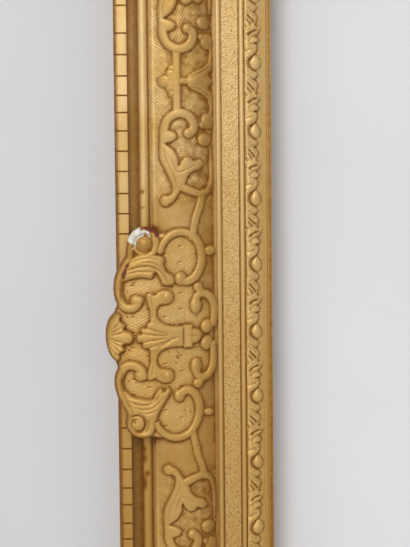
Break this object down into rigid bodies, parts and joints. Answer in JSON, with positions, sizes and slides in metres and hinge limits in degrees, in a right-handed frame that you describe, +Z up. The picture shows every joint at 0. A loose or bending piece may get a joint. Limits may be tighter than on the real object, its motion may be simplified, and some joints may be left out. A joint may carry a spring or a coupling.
{
  "type": "picture frame",
  "caption": "Gilded picture frame with a scrolled cushion frieze, pierced-looking cartouches at corners and centres, a sanded flat, a leaf sight edge and ring hangers behind.",
  "frame": {"origin": "centre of the opening in the plane of the back, which lies on the wall", "axes": "+Z up along the long rails, +X to the viewer's right, +Y from the picture side into the wall"},
  "size_m": [0.782, 0.0558, 0.892],
  "materials": {
    "softwood": "bare, aged",
    "gilt_wood": "gilded over bole, toned",
    "gilt_composition": "gilded over bole, toned",
    "brass": "dull"
  },
  "bodies": {
    "frame": {"base_rail_bottom": "softwood", "base_rail_left": "softwood", "base_rail_right": "softwood", "base_rail_top": "softwood", "button_screws": "brass", "centre_cartouche_bottom": "gilt_composition", "centre_cartouche_left": "gilt_composition", "centre_cartouche_right": "gilt_composition", "centre_cartouche_top": "gilt_composition", "corner_cartouche_bottom_left": "gilt_composition", "corner_cartouche_bottom_right": "gilt_composition", "corner_cartouche_top_left": "gilt_composition", "corner_cartouche_top_right": "gilt_composition", "corner_key_bottom_left": "softwood", "corner_key_bottom_right": "softwood", "corner_key_top_left": "softwood", "corner_key_top_right": "softwood", "edge_strip_bottom": "gilt_wood", "edge_strip_left": "gilt_wood", "edge_strip_right": "gilt_wood", "edge_strip_top": "gilt_wood", "frame_moulding_bottom": "gilt_wood", "frame_moulding_left": "gilt_wood", "frame_moulding_right": "gilt_wood", "frame_moulding_top": "gilt_wood", "hanger_plate_left": "brass", "hanger_plate_right": "brass", "hanger_screws": "brass", "leaf_band_bottom": "gilt_composition", "leaf_band_left": "gilt_composition", "leaf_band_right": "gilt_composition", "leaf_band_top": "gilt_composition", "scroll_run_bottom_left": "gilt_composition", "scroll_run_bottom_right": "gilt_composition", "scroll_run_left_lower": "gilt_composition", "scroll_run_left_upper": "gilt_composition", "scroll_run_right_lower": "gilt_composition", "scroll_run_right_upper": "gilt_composition", "scroll_run_top_left": "gilt_composition", "scroll_run_top_right": "gilt_composition", "sight_moulding_bottom": "gilt_wood", "sight_moulding_left": "gilt_wood", "sight_moulding_right": "gilt_wood", "sight_moulding_top": "gilt_wood"},
    "button_upper_left": {"turn_button_upper_left": "brass"},
    "button_lower_left": {"turn_button_lower_left": "brass"},
    "button_upper_right": {"turn_button_upper_right": "brass"},
    "button_lower_right": {"turn_button_lower_right": "brass"},
    "ring_left": {"hanger_ring_left": "brass"},
    "ring_right": {"hanger_ring_right": "brass"}
  },
  "joints": [
    {"name": "button_upper_left_turn", "type": "hinge", "parent": "frame", "child": "button_upper_left", "pos_m": [-0.283, 0, 0.18], "axis": [0, 1, 0], "continuous": true},
    {"name": "button_lower_left_turn", "type": "hinge", "parent": "frame", "child": "button_lower_left", "pos_m": [-0.283, 0, -0.18], "axis": [0, 1, 0], "continuous": true},
    {"name": "button_upper_right_turn", "type": "hinge", "parent": "frame", "child": "button_upper_right", "pos_m": [0.283, 0, 0.18], "axis": [0, 1, 0], "continuous": true},
    {"name": "button_lower_right_turn", "type": "hinge", "parent": "frame", "child": "button_lower_right", "pos_m": [0.283, 0, -0.18], "axis": [0, 1, 0], "continuous": true},
    {"name": "ring_left_swing", "type": "hinge", "parent": "frame", "child": "ring_left", "pos_m": [-0.3218, 0.00326, 0.19], "axis": [1, 0, 0], "range_deg": [0, 180]},
    {"name": "ring_right_swing", "type": "hinge", "parent": "frame", "child": "ring_right", "pos_m": [0.3218, 0.00326, 0.19], "axis": [1, 0, 0], "range_deg": [0, 180]}
  ]
}
